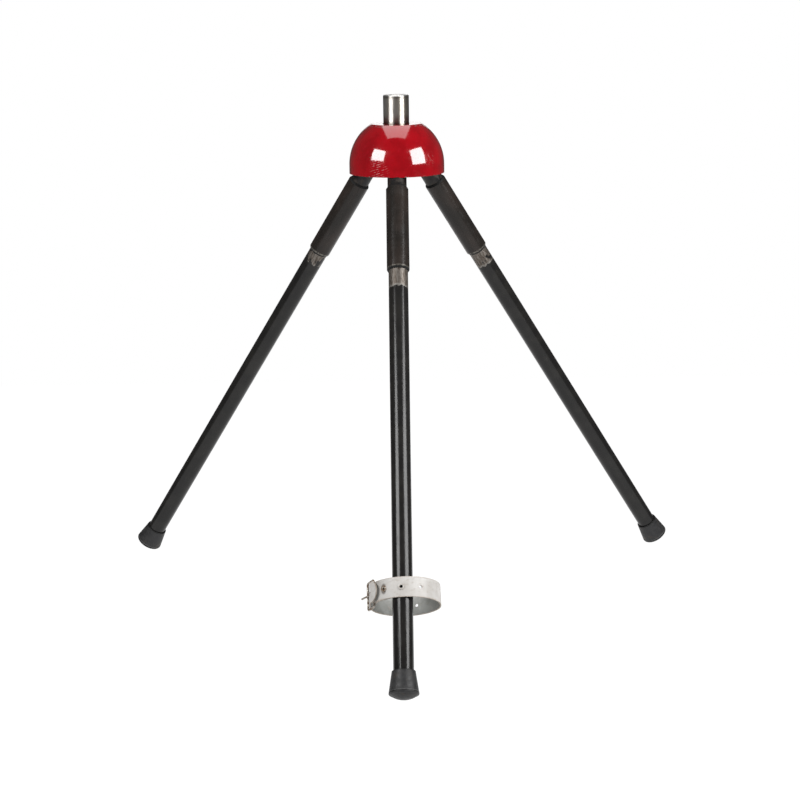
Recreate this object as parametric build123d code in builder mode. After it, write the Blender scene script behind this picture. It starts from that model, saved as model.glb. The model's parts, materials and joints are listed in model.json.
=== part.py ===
"""Folding steel tripod stand of a pitching machine, in millimetres.

The stand is a pressed steel dome with a plain round spindle on top and three tube legs below.
Each leg folds at a knuckle just under the dome. A sleeve slid up over the knuckle locks it.
+Z is up and the floor is z = 0. The origin is on the floor at the centre of the stand's outline.
"""
import os
from math import acos, asin, cos, degrees, radians, sin, sqrt

from build123d import *

# ---- driving dimensions -------------------------------------------------------------------
splay = 34.3                  # angle between a leg and the vertical, degrees
rim_height = 882.5            # floor to the dome's rim
leg_rim_radius = 73.0         # stand axis to a leg's axis, at the rim's height
leg_azimuths = {"front": -90.0, "left": 150.0, "right": 30.0}

tube_radius = 19.05           # 1.5 in tube
tube_wall = 2.1
running_gap = 0.125           # radial, sleeve to tube
slip_gap = 0.05               # radial, between pieces pressed or pinned together

dome_radius = 96.0
dome_wall = 3.0
dome_skirt = 17.5             # straight part above the rim
dome_height = 99.0
dome_edge_round = 4.0
rim_notch_gap = 0.6           # radial, notch in the rim round each stub

spindle_radius = 26.0
spindle_length = 57.15
spindle_chamfer = 1.5
foot_groove = (1.6, 0.8)      # relief round the spindle's foot: width, depth
stem_radius = 12.7
stem_end_above_rim = 1.0

hub_plate_above_rim = 20.0
hub_plate_thickness = 8.0
hub_plate_gap = 0.3
spacer_radius = 20.0
washer_radius = 22.0
washer_thickness = 3.0
nut_across_flats = 38.0
nut_thickness = 14.0

# ---- places along a leg, measured down the leg's axis from the rim's height ----------------
stub_top = -57.0
sleeve_top = 26.0
stub_end = 26.5
pivot_place = 40.5
shoulder_place = 57.0
leg_tube_top = 60.0
strap_place = 853.6

sleeve_length = 183.0
sleeve_wall = 3.05
sleeve_chamfer = (4.0, 2.4)   # along the leg, across it

knuckle_radius = 15.5         # rounded end of the fork
fork_slot = 10.0
fork_slot_relief = 11.5       # pivot to the bottom of the slot
fork_spigot_length = 54.5
tongue_thickness = 9.6
tongue_radius = 10.0
tongue_spigot_length = 40.0
hinge_pin_radius = 5.0
cross_pin_radius = 2.5
stub_pin_place = -12.0
plug_pin_places = (74.0, 88.0)

# ---- rubber tip ----------------------------------------------------------------------------
cuff_radius = 21.9            # narrow end, round the tube
cuff_bevel = 0.8
flare_radius = 28.0           # widest part, at the sole's edge
tip_cone_length = 41.4        # cuff's end to the widest part
sole_edge_round = 3.0
sole_crown = 8.0              # how far the sole's middle stands proud of its edge
sole_thickness = 20.5         # middle of the sole to the tube's washer
tip_washer_thickness = 2.0

# ---- strap and buckle ------------------------------------------------------------------------
strap_width = 38.1            # 1.5 in
strap_thickness = 2.6
strap_loop_radius = 65.2      # to the middle of the strap's thickness
strap_turn = 6.0              # round the leg, from its front toward the buckle, degrees
strap_tilt = 1.1              # the buckle's side hangs lower, degrees
strap_gap = 0.35
fold_gap = 0.12               # between the two layers of the fold
tail_cut_depth = 2.0          # each side of the tail's middle
strap_hole_radius = 3.0
strap_hole_angles = (-31.5, -99.0, -166.5)
bar_angle = 58.2              # round the loop from the leg's front to the buckle's bar
fold_spread = 9.6             # how far before the bar the two layers of the fold part
fold_end_angle = 21.0
fold_rivet_angle = 30.0
far_end_angle = 77.0          # where the strap leaves its circle to pass through the buckle
tail_length = 25.0            # past the buckle's bar
prong_slot_width = 6.5
prong_slot_reach = (-0.5, 22.0)
prong_slot_height = 9.0       # each side of the frame
wire_radius = 2.0
buckle_width = 51.0           # wire centre to wire centre, along the leg
buckle_length = 28.0
buckle_corner = 4.0
prong_radius = 1.7
prong_length = 44.0
prong_eye_radius = 4.4
prong_eye_width = 4.4
prong_rest_gap = 0.1
rivet_shank_radius = 3.2
rivet_bore_radius = 2.2
rivet_head_radius = 6.0
rivet_head_height = 1.2
rivet_clinch_radius = 4.4

# ---- sizes that follow -----------------------------------------------------------------------
tube_bore = tube_radius - tube_wall
sleeve_bore = tube_radius + running_gap
sleeve_radius = sleeve_bore + sleeve_wall
sole_radius = flare_radius - sole_edge_round
# The rounded edge of the sole touches the floor.
flare_place = (
    rim_height - sole_radius * sin(radians(splay)) - sole_edge_round
) / cos(radians(splay))
sole_place = flare_place + sole_edge_round
tip_top = flare_place - tip_cone_length
tip_end = sole_place + sole_crown
leg_tube_end = tip_end - sole_thickness
strap_centre = tube_radius + strap_gap + strap_thickness / 2 - strap_loop_radius
fold_radius = wire_radius + strap_gap + strap_thickness / 2
fold_inner_radius = strap_loop_radius - strap_thickness - fold_gap
bar_radius = (strap_loop_radius + fold_inner_radius) / 2
tail_radius = bar_radius + fold_radius + strap_thickness + strap_gap
far_end_radius = strap_loop_radius + strap_thickness / 2 + strap_gap + wire_radius
spindle_base = rim_height + dome_height
hub_plate_base = rim_height + hub_plate_above_rim

# The outline runs from the front sole's edge to the edges of the two rear soles.
flare_reach = leg_rim_radius + flare_place * sin(radians(splay))
front_reach = flare_reach + sole_radius * cos(radians(splay)) + sole_edge_round
rear_axis_slope = sin(radians(splay)) * sin(radians(leg_azimuths["right"]))
rear_reach = (
    flare_reach * sin(radians(leg_azimuths["right"]))
    + sole_radius * sqrt(1 - rear_axis_slope**2)
    + sole_edge_round
)
axis_y = (front_reach - rear_reach) / 2

stand_axis = Location((0, axis_y, 0))


def leg_plane(azimuth):
    """Plane across a leg at the rim's height: Z runs down the leg, X points out and up."""
    out = Vector(cos(radians(azimuth)), sin(radians(azimuth)), 0)
    up = Vector(0, 0, 1)
    tilt = radians(splay)
    origin = Vector(0, axis_y, rim_height) + out * leg_rim_radius
    down_leg = out * sin(tilt) - up * cos(tilt)
    across = out * cos(tilt) + up * sin(tilt)
    return Plane(origin=origin, x_dir=across, z_dir=down_leg)


def side_plane(leg):
    """The upright plane that holds a leg's axis: X points across the leg, Y runs down it."""
    return Plane(origin=leg.origin, x_dir=leg.x_dir, z_dir=-leg.y_dir)


def pin_plane(leg, place, half_length):
    """Plane for a pin that crosses a leg level with the floor, starting half its length out."""
    centre = leg.origin + leg.z_dir * place - leg.y_dir * half_length
    return Plane(origin=centre, x_dir=leg.x_dir, z_dir=leg.y_dir)


def strap_loop(leg):
    """Plane of the strap's loop: origin in its middle, X toward the leg, Z nearly down the leg."""
    turn = radians(strap_turn)
    tilt = radians(strap_tilt)
    toward_leg = leg.x_dir * cos(turn) + leg.y_dir * sin(turn)
    across = leg.y_dir * cos(turn) - leg.x_dir * sin(turn)
    centre = leg.origin + leg.z_dir * strap_place + toward_leg * strap_centre
    return Plane(origin=centre, x_dir=toward_leg, z_dir=leg.z_dir * cos(tilt) - across * sin(tilt))


def on_loop(radius, angle):
    """Point in the plane of the strap's loop, by its distance and angle from the middle."""
    return Vector(radius * cos(radians(angle)), radius * sin(radians(angle)), 0)


def loop_side(loop, radius, angle):
    """Plane square to the loop's radius at an angle, facing outward, for holes and rivets."""
    centre = loop.from_local_coords(on_loop(radius, angle))
    outward = (centre - loop.origin).normalized()
    return Plane(origin=centre, x_dir=loop.z_dir, z_dir=outward)


def save(part, name):
    """Label a finished piece and write it to its own file."""
    part.label = name
    export_step(part, f"parts/{name}.step")


os.makedirs("parts", exist_ok=True)
legs = {name: leg_plane(azimuth) for name, azimuth in leg_azimuths.items()}


# ---- head: dome, spindle and what clamps them together ---------------------------------------
def round_top(radius, height, skirt, edge_round):
    """Half outline of a cup with a straight skirt, a ball-shaped crown and a flat top."""
    flat = sqrt(radius**2 - (height - skirt) ** 2)
    middle = asin((height - skirt) / radius) / 2
    with BuildSketch() as outline:
        with BuildLine():
            Polyline((0, height), (0, 0), (radius, 0), (radius, skirt))
            ThreePointArc(
                (radius, skirt),
                (radius * cos(middle), skirt + radius * sin(middle)),
                (flat, height),
            )
            Line((flat, height), (0, height))
        make_face()
        crown_corner = outline.vertices().group_by(Axis.Y)[-1].sort_by(Axis.X)[-1]
        fillet(crown_corner, edge_round)
    return outline.sketch


rim_upright = Plane(origin=(0, axis_y, rim_height), x_dir=(1, 0, 0), z_dir=(0, -1, 0))
with BuildPart() as dome_shell:
    with BuildSketch(rim_upright):
        add(round_top(dome_radius, dome_height, dome_skirt, dome_edge_round))
    revolve(axis=Axis((0, axis_y, 0), (0, 0, 1)))
    with BuildSketch(rim_upright):
        add(
            round_top(
                dome_radius - dome_wall,
                dome_height - dome_wall,
                dome_skirt,
                dome_edge_round - dome_wall,
            )
        )
    revolve(axis=Axis((0, axis_y, 0), (0, 0, 1)), mode=Mode.SUBTRACT)
    with BuildSketch(Plane.XY.offset(rim_height).moved(stand_axis)):
        Circle(stem_radius + slip_gap)
    extrude(amount=2 * dome_height, mode=Mode.SUBTRACT)
    # A shallow groove leaves the seat round the spindle's foot flat to its inner edge.
    with BuildSketch(Plane.XY.offset(spindle_base).moved(stand_axis)):
        Circle(spindle_radius + foot_groove[0])
        Circle(spindle_radius, mode=Mode.SUBTRACT)
    extrude(amount=-foot_groove[1], mode=Mode.SUBTRACT)
    for leg in legs.values():
        with BuildSketch(leg):
            Circle(tube_radius + rim_notch_gap)
        extrude(amount=stub_end, both=True, mode=Mode.SUBTRACT)
save(dome_shell.part, "dome_shell")

with BuildPart() as spindle:
    with BuildSketch(Plane.XY.offset(spindle_base).moved(stand_axis)):
        Circle(spindle_radius)
    extrude(amount=spindle_length)
    chamfer(spindle.edges().sort_by(Axis.Z)[-1], spindle_chamfer)
    with BuildSketch(Plane.XY.offset(rim_height + stem_end_above_rim).moved(stand_axis)):
        Circle(stem_radius)
    extrude(amount=dome_height - stem_end_above_rim)
    chamfer(spindle.edges().sort_by(Axis.Z)[0], spindle_chamfer)
save(spindle.part, "spindle")

with BuildPart() as spindle_spacer:
    with BuildSketch(Plane.XY.offset(hub_plate_base + hub_plate_thickness).moved(stand_axis)):
        Circle(spacer_radius)
        Circle(stem_radius + slip_gap, mode=Mode.SUBTRACT)
    extrude(amount=dome_height - dome_wall - hub_plate_above_rim - hub_plate_thickness)
save(spindle_spacer.part, "spindle_spacer")

plate_top_above_skirt = hub_plate_above_rim + hub_plate_thickness - dome_skirt
hub_plate_radius = (
    sqrt((dome_radius - dome_wall) ** 2 - plate_top_above_skirt**2) - hub_plate_gap
)
with BuildPart() as hub_plate:
    with BuildSketch(Plane.XY.offset(hub_plate_base).moved(stand_axis)):
        Circle(hub_plate_radius)
        Circle(stem_radius + slip_gap, mode=Mode.SUBTRACT)
    extrude(amount=hub_plate_thickness)
    for leg in legs.values():
        with BuildSketch(leg.offset(stub_top)):
            Circle(tube_radius + slip_gap)
        extrude(amount=stub_end - stub_top, mode=Mode.SUBTRACT)
save(hub_plate.part, "hub_plate")

with BuildPart() as spindle_washer:
    with BuildSketch(Plane.XY.offset(hub_plate_base - washer_thickness).moved(stand_axis)):
        Circle(washer_radius)
        Circle(stem_radius + slip_gap, mode=Mode.SUBTRACT)
    extrude(amount=washer_thickness)
save(spindle_washer.part, "spindle_washer")

nut_base = hub_plate_base - washer_thickness - nut_thickness
with BuildPart() as spindle_nut:
    with BuildSketch(Plane.XY.offset(nut_base).moved(stand_axis)):
        RegularPolygon(nut_across_flats / 2, 6, major_radius=False)
        Circle(stem_radius + slip_gap, mode=Mode.SUBTRACT)
    extrude(amount=nut_thickness)
save(spindle_nut.part, "spindle_nut")


# ---- one leg, from the stub in the dome to the rubber tip --------------------------------------
def build_stub_tube(leg):
    """Short tube welded into the hub plate; it shows between the rim and the sleeve."""
    with BuildPart() as stub_tube:
        with BuildSketch(leg.offset(stub_top)):
            Circle(tube_radius)
            Circle(tube_bore, mode=Mode.SUBTRACT)
        extrude(amount=stub_end - stub_top)
        with BuildSketch(pin_plane(leg, stub_pin_place, tube_radius)):
            Circle(cross_pin_radius + slip_gap)
        extrude(amount=2 * tube_radius, mode=Mode.SUBTRACT)
    return stub_tube.part


def build_fork(leg):
    """Fixed half of the knuckle: a spigot, a taper that the sleeve wedges on, and two cheeks."""
    spigot_radius = tube_bore - slip_gap
    with BuildPart() as fork:
        with BuildSketch(side_plane(leg)):
            with BuildLine():
                Polyline(
                    (0, pivot_place + knuckle_radius),
                    (0, stub_end - fork_spigot_length),
                    (spigot_radius, stub_end - fork_spigot_length),
                    (spigot_radius, stub_end),
                    (tube_radius, stub_end),
                    (knuckle_radius, pivot_place),
                )
                ThreePointArc(
                    (knuckle_radius, pivot_place),
                    (knuckle_radius * sin(radians(45)), pivot_place + knuckle_radius * cos(radians(45))),
                    (0, pivot_place + knuckle_radius),
                )
            make_face()
        revolve(axis=Axis(leg.origin, leg.z_dir))
        with BuildSketch(leg.offset(pivot_place - fork_slot_relief)):
            Rectangle(3 * tube_radius, fork_slot)
        extrude(amount=fork_slot_relief + 2 * knuckle_radius, mode=Mode.SUBTRACT)
        with BuildSketch(pin_plane(leg, pivot_place, tube_radius)):
            Circle(hinge_pin_radius + slip_gap / 2)
        extrude(amount=2 * tube_radius, mode=Mode.SUBTRACT)
        with BuildSketch(pin_plane(leg, stub_pin_place, tube_radius)):
            Circle(cross_pin_radius + slip_gap)
        extrude(amount=2 * tube_radius, mode=Mode.SUBTRACT)
    return fork.part


def build_pin(leg, place, radius, half_length):
    """Plain pin across a leg, with its two ends chamfered."""
    with BuildPart() as pin:
        with BuildSketch(pin_plane(leg, place, half_length)):
            Circle(radius)
        extrude(amount=2 * half_length)
        chamfer(pin.edges().filter_by(GeomType.CIRCLE), radius / 6)
    return pin.part


def build_tongue(leg):
    """Moving half of the knuckle: a blade in the fork's slot and a spigot in the leg tube."""
    with BuildPart() as tongue:
        with BuildSketch(leg.offset(shoulder_place)):
            Circle(tube_radius)
        extrude(amount=leg_tube_top - shoulder_place)
        with BuildSketch(leg.offset(leg_tube_top)):
            Circle(tube_bore - slip_gap)
        extrude(amount=tongue_spigot_length)
        with BuildSketch(side_plane(leg)):
            with Locations((0, pivot_place)):
                Circle(tongue_radius)
            with Locations((0, (pivot_place + shoulder_place) / 2)):
                Rectangle(2 * tongue_radius, shoulder_place - pivot_place)
        extrude(amount=tongue_thickness / 2, both=True)
        with BuildSketch(pin_plane(leg, pivot_place, tube_radius)):
            Circle(hinge_pin_radius + slip_gap)
        extrude(amount=2 * tube_radius, mode=Mode.SUBTRACT)
        for place in plug_pin_places:
            with BuildSketch(pin_plane(leg, place, tube_radius)):
                Circle(cross_pin_radius + slip_gap)
            extrude(amount=2 * tube_radius, mode=Mode.SUBTRACT)
    return tongue.part


def build_leg_tube(leg, rivet_hole):
    """Long leg tube; the front one has a hole for the strap's rivet."""
    with BuildPart() as leg_tube:
        with BuildSketch(leg.offset(leg_tube_top)):
            Circle(tube_radius)
            Circle(tube_bore, mode=Mode.SUBTRACT)
        extrude(amount=leg_tube_end - leg_tube_top)
        for place in plug_pin_places:
            with BuildSketch(pin_plane(leg, place, tube_radius)):
                Circle(cross_pin_radius + slip_gap)
            extrude(amount=2 * tube_radius, mode=Mode.SUBTRACT)
        if rivet_hole:
            with BuildSketch(loop_side(strap_loop(leg), strap_loop_radius, 0)):
                Circle(rivet_shank_radius + slip_gap)
            extrude(amount=-tube_radius, mode=Mode.SUBTRACT)
    return leg_tube.part


def build_sleeve(leg):
    """Locking sleeve that slides over the knuckle, with both ends chamfered."""
    with BuildPart() as sleeve:
        with BuildSketch(leg.offset(sleeve_top)):
            Circle(sleeve_radius)
        extrude(amount=sleeve_length)
        ends = sleeve.faces().filter_by(GeomType.PLANE)
        for end in ends:
            chamfer(end.edges(), sleeve_chamfer[1], sleeve_chamfer[0], reference=end)
        with BuildSketch(leg.offset(sleeve_top)):
            Circle(sleeve_bore)
        extrude(amount=sleeve_length, mode=Mode.SUBTRACT)
    return sleeve.part


def build_rubber_tip(leg):
    """Moulded rubber foot: a cone that widens from the tube to a round-edged, crowned sole."""
    with BuildPart() as rubber_tip:
        with BuildSketch(side_plane(leg)):
            with BuildLine():
                Polyline(
                    (0, tip_end),
                    (0, tip_top),
                    (cuff_radius - cuff_bevel, tip_top),
                    (cuff_radius, tip_top + cuff_bevel),
                    (flare_radius, flare_place),
                )
                CenterArc((sole_radius, flare_place), sole_edge_round, 0, 90)
                TangentArc((0, tip_end), (sole_radius, sole_place), tangent=(1, 0))
            make_face()
        revolve(axis=Axis(leg.origin, leg.z_dir))
        with BuildSketch(leg.offset(tip_top)):
            Circle(tube_radius + slip_gap)
        extrude(amount=leg_tube_end + tip_washer_thickness - tip_top, mode=Mode.SUBTRACT)
    return rubber_tip.part


def build_tip_washer(leg):
    """Steel disc moulded into the tip, so that the tube's end does not cut through the rubber."""
    with BuildPart() as tip_washer:
        with BuildSketch(leg.offset(leg_tube_end)):
            Circle(tube_radius - slip_gap)
        extrude(amount=tip_washer_thickness - slip_gap)
    return tip_washer.part


hinge_pin_half = sqrt(knuckle_radius**2 - hinge_pin_radius**2)
cross_pin_half = sqrt(tube_radius**2 - cross_pin_radius**2)
for name, leg in legs.items():
    save(build_stub_tube(leg), f"{name}_stub_tube")
    save(build_fork(leg), f"{name}_knuckle_fork")
    save(build_pin(leg, stub_pin_place, cross_pin_radius, cross_pin_half), f"{name}_stub_pin")
    save(build_pin(leg, pivot_place, hinge_pin_radius, hinge_pin_half), f"{name}_hinge_pin")
    save(build_tongue(leg), f"{name}_knuckle_tongue")
    save(build_leg_tube(leg, rivet_hole=(name == "front")), f"{name}_leg_tube")
    plug_pins = [build_pin(leg, place, cross_pin_radius, cross_pin_half) for place in plug_pin_places]
    save(Compound(children=plug_pins), f"{name}_plug_pins")
    save(build_sleeve(leg), f"{name}_lock_sleeve")
    save(build_rubber_tip(leg), f"{name}_rubber_tip")
    save(build_tip_washer(leg), f"{name}_tip_washer")


# ---- bundling strap and its buckle, on the front leg --------------------------------------------
loop = strap_loop(legs["front"])
bar_point = on_loop(bar_radius, bar_angle)
# The frame's far end lies on the strap, one frame's length from the bar.
far_turn = acos(
    (bar_radius**2 + far_end_radius**2 - buckle_length**2) / (2 * bar_radius * far_end_radius)
)
far_point = on_loop(far_end_radius, bar_angle + degrees(far_turn))
frame_direction = (far_point - bar_point).normalized()
bar_origin = loop.from_local_coords(bar_point)
far_origin = loop.from_local_coords(far_point)
frame_x = (far_origin - bar_origin).normalized()
frame_plane = Plane(origin=bar_origin, x_dir=frame_x, z_dir=loop.z_dir.cross(frame_x) * -1)
prong_lift = asin((wire_radius + prong_radius + prong_rest_gap) / buckle_length)


def strap_path():
    """Middle line of the strap: fold round the bar, once round the loop, then the free tail."""
    parting = bar_angle - fold_spread
    fold_inner_end = on_loop(fold_inner_radius, parting)
    around_start = on_loop(bar_radius - fold_radius, bar_angle)
    around_end = on_loop(bar_radius + fold_radius, bar_angle)
    around_middle = bar_point + on_loop(fold_radius, bar_angle + 90)
    loop_start = on_loop(strap_loop_radius, parting)
    loop_end = on_loop(strap_loop_radius, far_end_angle)
    tail_start = on_loop(tail_radius, bar_angle)
    tail_end = tail_start + on_loop(tail_length, bar_angle - 90)
    back = on_loop(1, bar_angle + 90)
    with BuildLine() as path:
        CenterArc((0, 0), fold_inner_radius, fold_end_angle, parting - fold_end_angle)
        Spline(fold_inner_end, around_start, tangents=(on_loop(1, parting + 90), back))
        ThreePointArc(around_start, around_middle, around_end)
        Spline(around_end, loop_start, tangents=(-back, -on_loop(1, parting + 90)))
        CenterArc((0, 0), strap_loop_radius, parting, far_end_angle - 360 - parting)
        Spline(loop_end, tail_start, tangents=(-on_loop(1, far_end_angle + 90), -back))
        Line(tail_start, tail_end)
    return loop.from_local_coords(path.line)


with BuildPart() as bundle_strap:
    strap_line = strap_path()
    with BuildSketch(Plane(origin=strap_line @ 0, x_dir=loop.z_dir, z_dir=strap_line % 0)):
        Rectangle(strap_width, strap_thickness)
    sweep(path=strap_line)
    # The tail ends in a half circle as wide as the strap.
    with BuildSketch(loop_side(loop, tail_radius, bar_angle)):
        with Locations((0, tail_length + strap_width / 2)):
            Rectangle(2 * strap_width, 2 * strap_width)
        with Locations((0, tail_length - strap_width / 2)):
            Circle(strap_width / 2 + strap_gap, mode=Mode.SUBTRACT)
    extrude(amount=tail_cut_depth, both=True, mode=Mode.SUBTRACT)
    # Room for the prong: its eye in the fold, and its shank through the tail.
    with BuildSketch(loop):
        with Locations(bar_point):
            Circle(fold_radius + strap_thickness / 2 + strap_gap / 2)
    extrude(amount=prong_slot_width / 2, both=True, mode=Mode.SUBTRACT)
    with BuildSketch(frame_plane):
        with Locations((sum(prong_slot_reach) / 2, 0)):
            Rectangle(prong_slot_reach[1] - prong_slot_reach[0], prong_slot_width)
    extrude(amount=prong_slot_height, both=True, mode=Mode.SUBTRACT)
    for angle in strap_hole_angles:
        with BuildSketch(loop_side(loop, strap_loop_radius, angle)):
            Circle(strap_hole_radius)
        extrude(amount=strap_thickness, both=True, mode=Mode.SUBTRACT)
    for angle in (0, fold_rivet_angle):
        with BuildSketch(loop_side(loop, strap_loop_radius, angle)):
            Circle(rivet_shank_radius + slip_gap)
        extrude(amount=2 * strap_thickness, both=True, mode=Mode.SUBTRACT)
save(bundle_strap.part, "bundle_strap")

with BuildPart() as buckle_frame:
    half_width = buckle_width / 2
    with BuildLine(frame_plane) as frame_line:
        FilletPolyline(
            (0, -half_width),
            (buckle_length, -half_width),
            (buckle_length, half_width),
            (0, half_width),
            radius=buckle_corner,
            close=True,
        )
    with BuildSketch(Plane(origin=frame_line.line @ 0, z_dir=frame_line.line % 0)):
        Circle(wire_radius)
    sweep(path=frame_line.line)
save(buckle_frame.part, "buckle_frame")

prong_direction = frame_plane.x_dir * cos(prong_lift) + frame_plane.z_dir * sin(prong_lift)
with BuildPart() as buckle_prong:
    with BuildSketch(Plane(origin=bar_origin, x_dir=prong_direction, z_dir=loop.z_dir)):
        Circle(prong_eye_radius)
    extrude(amount=prong_eye_width / 2, both=True)
    with BuildSketch(Plane(origin=bar_origin, x_dir=loop.z_dir, z_dir=prong_direction)):
        Circle(prong_radius)
    extrude(amount=prong_length)
    fillet(buckle_prong.faces().sort_by(Axis(bar_origin, prong_direction))[-1].edges(), prong_radius / 2)
    with BuildSketch(Plane(origin=bar_origin, z_dir=loop.z_dir)):
        Circle(wire_radius + 2 * slip_gap)
    extrude(amount=prong_eye_width, both=True, mode=Mode.SUBTRACT)
save(buckle_prong.part, "buckle_prong")


def build_rivet(angle, inside, outside):
    """Hollow rivet through the loop: a flange outside, a shank, and a clinched rim inside."""
    outer_face = loop_side(loop, outside, angle)
    with BuildPart() as rivet:
        with BuildSketch(outer_face):
            Circle(rivet_head_radius)
        extrude(amount=rivet_head_height)
        fillet(rivet.edges().sort_by(Axis(outer_face.origin, outer_face.z_dir))[-1], rivet_head_height / 2)
        with BuildSketch(outer_face):
            Circle(rivet_shank_radius)
        extrude(amount=inside - outside - rivet_head_height)
        with BuildSketch(loop_side(loop, inside, angle)):
            Circle(rivet_clinch_radius)
        extrude(amount=-rivet_head_height)
        with BuildSketch(loop_side(loop, outside + rivet_head_height, angle)):
            Circle(rivet_bore_radius)
        extrude(amount=inside - outside - 3 * rivet_head_height, mode=Mode.SUBTRACT)
    return rivet.part


def hollow_depth(radius):
    """How far a clinched rim stands off the middle of the hollow surface that it bears on."""
    return radius - sqrt(radius**2 - rivet_clinch_radius**2) + slip_gap


strap_outside = strap_loop_radius + strap_thickness / 2 + slip_gap
fold_inside = fold_inner_radius - strap_thickness / 2
tube_inside = strap_loop_radius - strap_thickness / 2 - strap_gap - tube_wall
save(build_rivet(0, tube_inside - hollow_depth(tube_bore), strap_outside), "strap_rivet")
save(build_rivet(fold_rivet_angle, fold_inside - hollow_depth(fold_inside), strap_outside), "buckle_rivet")
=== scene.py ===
"""Looks of a folding tripod stand: its materials, its bundling strap and a plain white studio."""

import bisect
import json
import math

import bpy
from mathutils import Matrix, Vector, geometry, noise


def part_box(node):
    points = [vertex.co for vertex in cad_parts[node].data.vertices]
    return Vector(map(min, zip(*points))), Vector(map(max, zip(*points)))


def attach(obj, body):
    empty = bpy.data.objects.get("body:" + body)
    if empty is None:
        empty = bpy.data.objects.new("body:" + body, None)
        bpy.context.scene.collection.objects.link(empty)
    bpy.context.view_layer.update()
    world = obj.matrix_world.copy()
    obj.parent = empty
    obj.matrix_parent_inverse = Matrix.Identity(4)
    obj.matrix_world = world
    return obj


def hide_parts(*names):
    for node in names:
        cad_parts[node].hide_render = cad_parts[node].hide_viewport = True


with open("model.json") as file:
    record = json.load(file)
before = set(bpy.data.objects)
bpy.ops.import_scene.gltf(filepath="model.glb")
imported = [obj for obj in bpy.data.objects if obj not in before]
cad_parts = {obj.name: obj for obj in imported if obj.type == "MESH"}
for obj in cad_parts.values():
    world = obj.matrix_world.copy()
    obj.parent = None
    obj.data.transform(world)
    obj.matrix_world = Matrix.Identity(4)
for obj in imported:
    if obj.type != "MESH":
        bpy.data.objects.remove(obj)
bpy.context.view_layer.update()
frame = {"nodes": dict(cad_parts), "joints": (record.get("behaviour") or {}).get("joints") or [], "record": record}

MM = 0.001
LEGS = ("front", "left", "right")
STRAP_TURN = 6.0              # round the front leg, toward the buckle, degrees
joints = {joint["name"]: joint for joint in frame["joints"]}
mounts = {mount["name"]: mount for mount in frame["record"]["mounts"]}
nodes = frame["nodes"]


# ---------------------------------------------------------------- places taken from the frame


def axes_matrix(origin, x_axis, y_axis, z_axis):
    """Matrix whose columns are the three axes, standing at origin."""
    matrix = Matrix((x_axis, y_axis, z_axis)).transposed().to_4x4()
    matrix.translation = origin
    return matrix


def leg_axes(leg):
    """A leg's own axes: Z down the leg from its hinge, X outward, Y across."""
    down = Vector(joints[f"{leg}_sleeve_slide"]["axis"]).normalized()
    across = -Vector(joints[f"{leg}_leg_fold"]["axis"]).normalized()
    return axes_matrix(Vector(joints[f"{leg}_leg_fold"]["pos_m"]), across.cross(down), across, down)


def reach(node, axes):
    """Lowest and highest corner of a CAD node in millimetres, measured in the given axes."""
    to_own = axes.inverted()
    points = [to_own @ vertex.co / MM for vertex in nodes[node].data.vertices]
    low = Vector(min(point[i] for point in points) for i in range(3))
    high = Vector(max(point[i] for point in points) for i in range(3))
    return low, high


def strap_axes():
    """Axes of the strap's loop: its middle, X toward the leg's rivet, Z nearly down the leg."""
    down = -Vector(joints["buckle_lift"]["axis"]).normalized()
    turn = Matrix.Rotation(math.radians(STRAP_TURN), 3, down)
    toward_leg = turn @ leg_places["front"].to_3x3().col[0]
    toward_leg = (toward_leg - down * toward_leg.dot(down)).normalized()
    axes = axes_matrix(Vector(joints["buckle_lift"]["pos_m"]), toward_leg, down.cross(toward_leg), down)
    low, high = reach("bundle_strap", axes)
    half = (high.x - low.x) / 2
    middle = Vector(((low.x + high.x) / 2, low.y + half, (low.z + high.z) / 2))
    axes.translation = axes @ (middle * MM)
    return axes


leg_places = {leg: leg_axes(leg) for leg in LEGS}
strap_place = strap_axes()
spindle_base = Vector(mounts["spindle"]["pos_m"])
spindle_base.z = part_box("dome_shell")[1].z
dome_place = Matrix.Translation((spindle_base.x, spindle_base.y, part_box("dome_shell")[0].z))
dome_height = (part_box("dome_shell")[1].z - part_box("dome_shell")[0].z) / MM
dome_radius = reach("dome_shell", dome_place)[1].x
spindle_place = Matrix.Translation(spindle_base)
spindle_height = reach("spindle", spindle_place)[1].z


# ---------------------------------------------------------------- a small kit for node materials


def rgb(red, green, blue):
    """A colour with its alpha."""
    return (red, green, blue, 1.0)


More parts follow.
